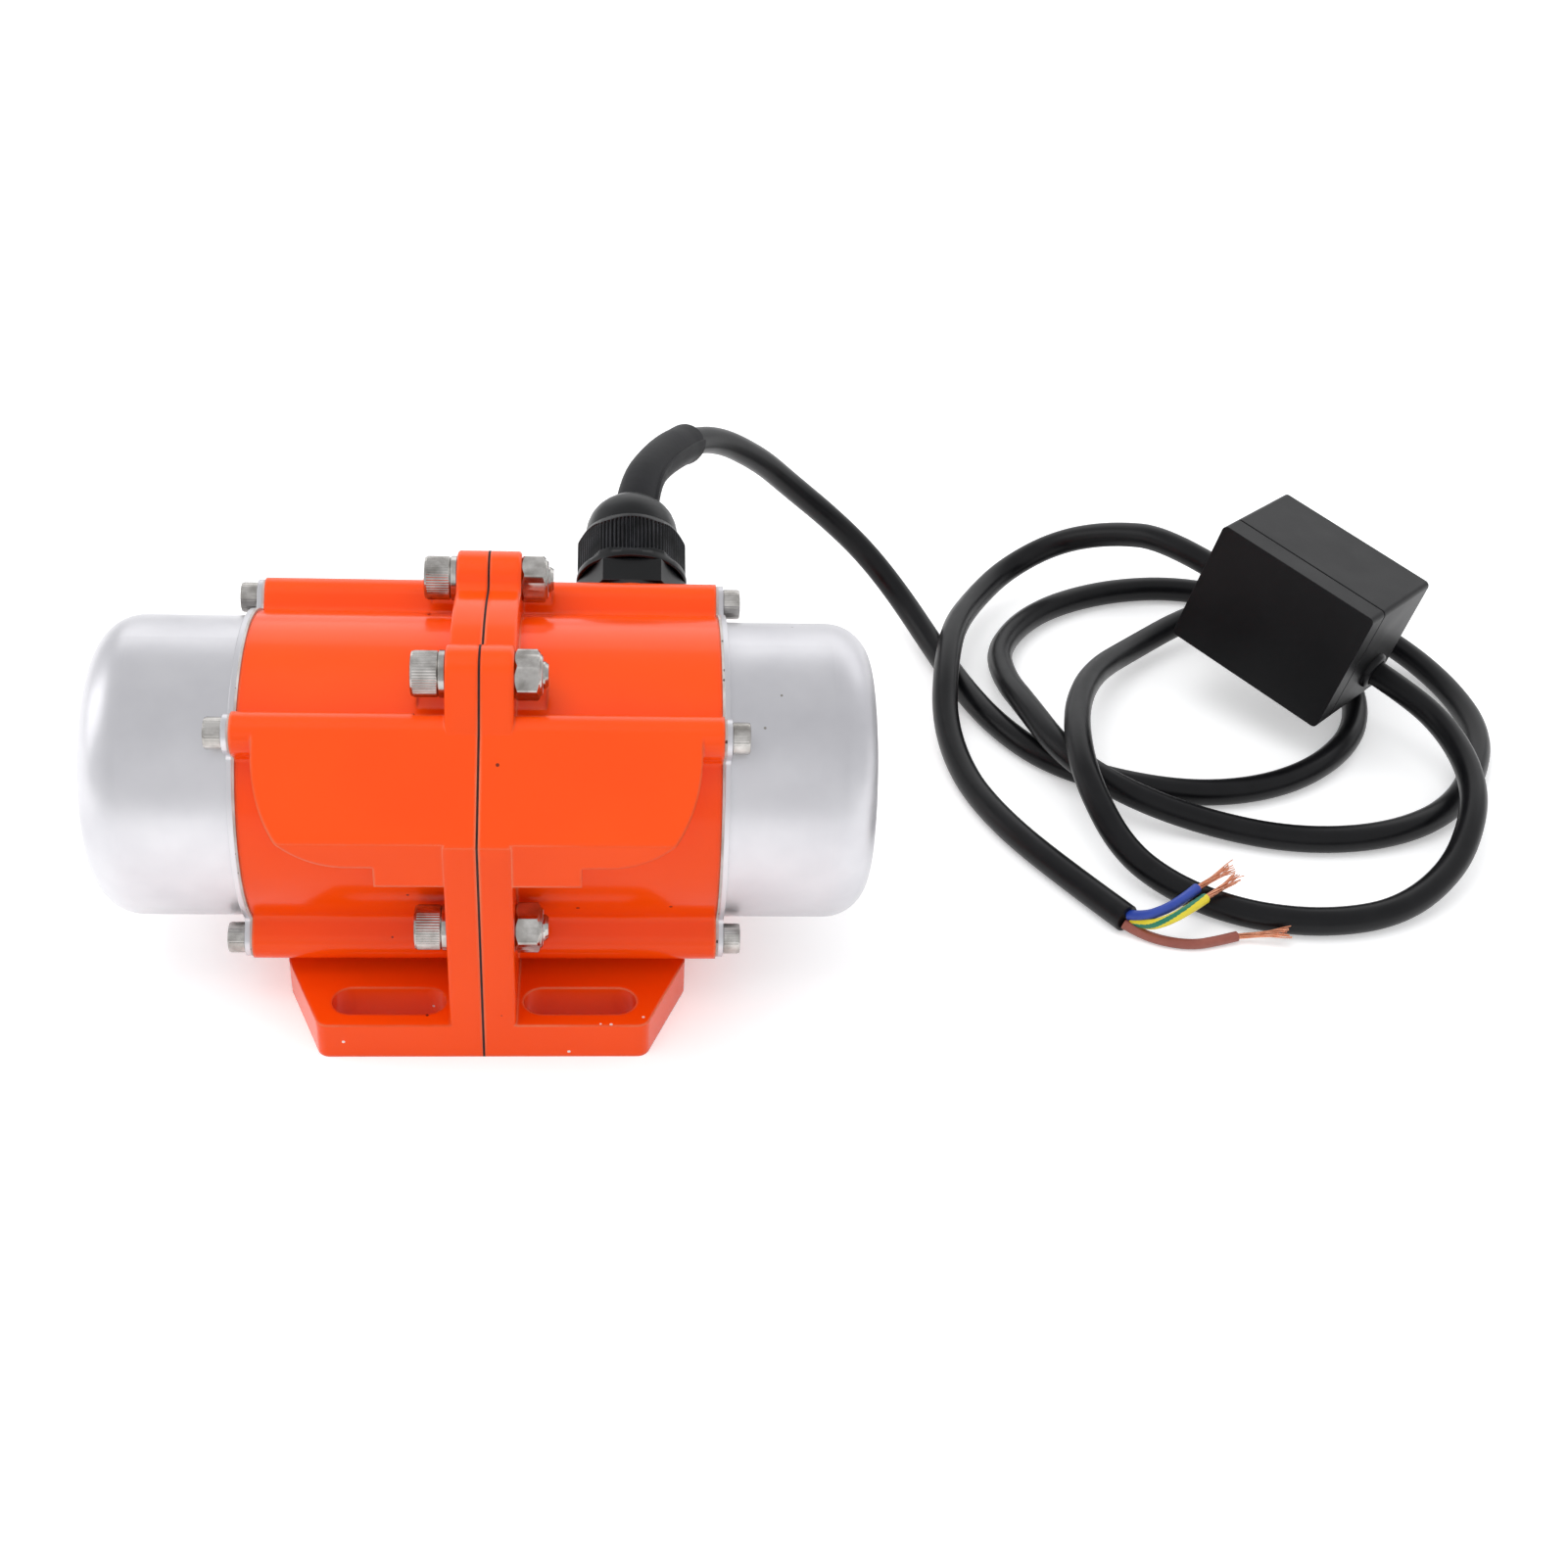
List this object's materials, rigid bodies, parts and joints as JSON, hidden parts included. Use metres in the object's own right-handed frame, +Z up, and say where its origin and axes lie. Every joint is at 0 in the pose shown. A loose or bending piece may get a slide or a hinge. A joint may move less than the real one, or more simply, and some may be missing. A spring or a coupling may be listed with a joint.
{
  "type": "vibration motor",
  "caption": "Foot-mounted electric vibration motor with eccentric weights under round end caps, a cable gland, an inline capacitor box and a supply lead.",
  "frame": {"origin": "on the mounting surface, under the middle of the slotted feet", "axes": "+X along the rotor shaft, towards the end with the cable gland, +Z up from the feet, -Y is the side seen in the picture"},
  "size_m": [0.366, 0.2114, 0.0903],
  "materials": {
    "orange_paint": "gloss",
    "cap_steel": "satin",
    "gasket_fibre": "matte",
    "zinc_steel": "bright",
    "nylon": "satin",
    "lamination_steel": "satin",
    "winding_copper": "enamelled",
    "cast_aluminium": "cast",
    "ground_steel": "ground",
    "bearing_steel": "polished",
    "seal_rubber": "matte",
    "weight_steel": "satin",
    "gland_plastic": "satin",
    "sleeve_rubber": "matte",
    "cable_jacket": "satin",
    "box_plastic": "satin",
    "capacitor_film": "gloss",
    "core_brown_plastic": "satin",
    "core_blue_plastic": "satin",
    "core_earth_plastic": "satin",
    "bare_copper": "bright"
  },
  "bodies": {
    "motor": {"bearing_outer_left": "bearing_steel", "bearing_outer_right": "bearing_steel", "cable_sleeve": "sleeve_rubber", "cap_gasket_left": "gasket_fibre", "cap_gasket_right": "gasket_fibre", "cap_screws_left": "zinc_steel", "cap_screws_right": "zinc_steel", "capacitor_case": "box_plastic", "capacitor_element": "capacitor_film", "capacitor_lid": "box_plastic", "copper_blue": "bare_copper", "copper_brown": "bare_copper", "copper_earth": "bare_copper", "core_blue": "core_blue_plastic", "core_brown": "core_brown_plastic", "core_earth": "core_earth_plastic", "end_cap_left": "cap_steel", "end_cap_right": "cap_steel", "flange_bolts": "zinc_steel", "flange_nuts": "zinc_steel", "gland_body": "gland_plastic", "gland_gasket": "seal_rubber", "gland_nut": "gland_plastic", "gland_seal": "seal_rubber", "housing_left": "orange_paint", "housing_right": "orange_paint", "joint_gasket": "gasket_fibre", "lock_washers": "zinc_steel", "motor_cable": "cable_jacket", "nut_inserts": "nylon", "shaft_seal_left": "seal_rubber", "shaft_seal_right": "seal_rubber", "stator_core": "lamination_steel", "stator_windings": "winding_copper", "supply_lead": "cable_jacket"},
    "rotor": {"rotor_core": "lamination_steel", "rotor_cage": "cast_aluminium", "shaft": "ground_steel", "shaft_keys": "ground_steel", "retaining_rings": "ground_steel", "bearing_inner_left": "bearing_steel", "bearing_inner_right": "bearing_steel", "spacer_left": "ground_steel", "spacer_right": "ground_steel", "weight_fixed_left": "weight_steel", "weight_fixed_right": "weight_steel"},
    "ball_cage_left": {"bearing_cage_left": "bearing_steel", "bearing_balls_left": "bearing_steel"},
    "ball_cage_right": {"bearing_cage_right": "bearing_steel", "bearing_balls_right": "bearing_steel"},
    "outer_weight_left": {"weight_adjustable_left": "weight_steel", "clamp_screw_left": "zinc_steel"},
    "outer_weight_right": {"weight_adjustable_right": "weight_steel", "clamp_screw_right": "zinc_steel"}
  },
  "joints": [
    {"name": "rotor_spin", "type": "hinge", "parent": "motor", "child": "rotor", "pos_m": [0, 0, 0.0453], "axis": [1, 0, 0], "continuous": true},
    {"name": "ball_cage_left_turn", "type": "hinge", "parent": "motor", "child": "ball_cage_left", "pos_m": [-0.045, 0, 0.0453], "axis": [1, 0, 0], "continuous": true},
    {"name": "ball_cage_right_turn", "type": "hinge", "parent": "motor", "child": "ball_cage_right", "pos_m": [0.045, 0, 0.0453], "axis": [1, 0, 0], "continuous": true},
    {"name": "outer_weight_left_setting", "type": "hinge", "parent": "rotor", "child": "outer_weight_left", "pos_m": [-0.075, 0, 0.0453], "axis": [1, 0, 0], "range_deg": [0, 180]},
    {"name": "outer_weight_right_setting", "type": "hinge", "parent": "rotor", "child": "outer_weight_right", "pos_m": [0.075, 0, 0.0453], "axis": [1, 0, 0], "range_deg": [0, 180]}
  ],
  "couplings": [
    {"joint": "ball_cage_left_turn", "follows": "rotor_spin", "ratio": 0.3829},
    {"joint": "ball_cage_right_turn", "follows": "rotor_spin", "ratio": 0.3829}
  ]
}
